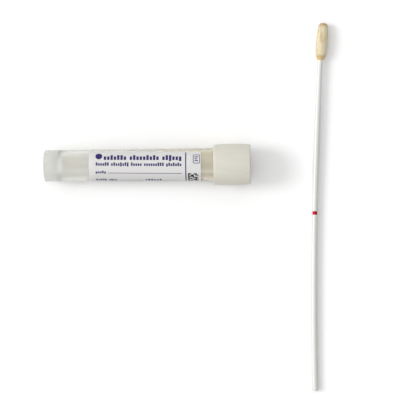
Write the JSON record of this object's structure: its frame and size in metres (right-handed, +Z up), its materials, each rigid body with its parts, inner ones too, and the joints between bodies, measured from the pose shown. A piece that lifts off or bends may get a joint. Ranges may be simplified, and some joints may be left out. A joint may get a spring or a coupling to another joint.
{
  "type": "specimen swab tube",
  "caption": "Skirted screw-cap specimen tube with a blank printed label and liquid medium, lying beside its flocked swab with a snap-off shaft.",
  "frame": {"origin": "centre of the footprint of the tube and swab, on the surface that they lie on", "axes": "+Z up, +X along the tube towards its cap, +Y along the swab towards its tip"},
  "size_m": [0.1196, 0.155, 0.0174],
  "materials": {
    "tube": "frosted translucent",
    "label": "satin film",
    "liquid_medium": "clear tinted liquid",
    "cap": "satin",
    "seal_ring": "soft matt",
    "swab_shaft": "gloss",
    "swab_tip": "flocked fibre"
  },
  "bodies": {
    "tube_and_swab": {"tube": "tube", "label": "label", "liquid_medium": "liquid_medium", "swab_shaft": "swab_shaft", "swab_tip": "swab_tip"},
    "lifting_seal": {"seal_ring": "seal_ring"},
    "turning_cap": {"cap": "cap"}
  },
  "joints": [
    {"name": "cap_lift", "type": "slide", "parent": "tube_and_swab", "child": "lifting_seal", "axis": [0.9996, 0, 0.0274], "range_m": [0, 0.015]},
    {"name": "cap_turn", "type": "hinge", "parent": "lifting_seal", "child": "turning_cap", "pos_m": [0.01103, 0.01806, 0.00847], "axis": [0.9996, 0, 0.0274], "range_deg": [0, 1800]}
  ],
  "couplings": [
    {"joint": "cap_turn", "follows": "cap_lift", "rad_per_m": 2094.4}
  ]
}
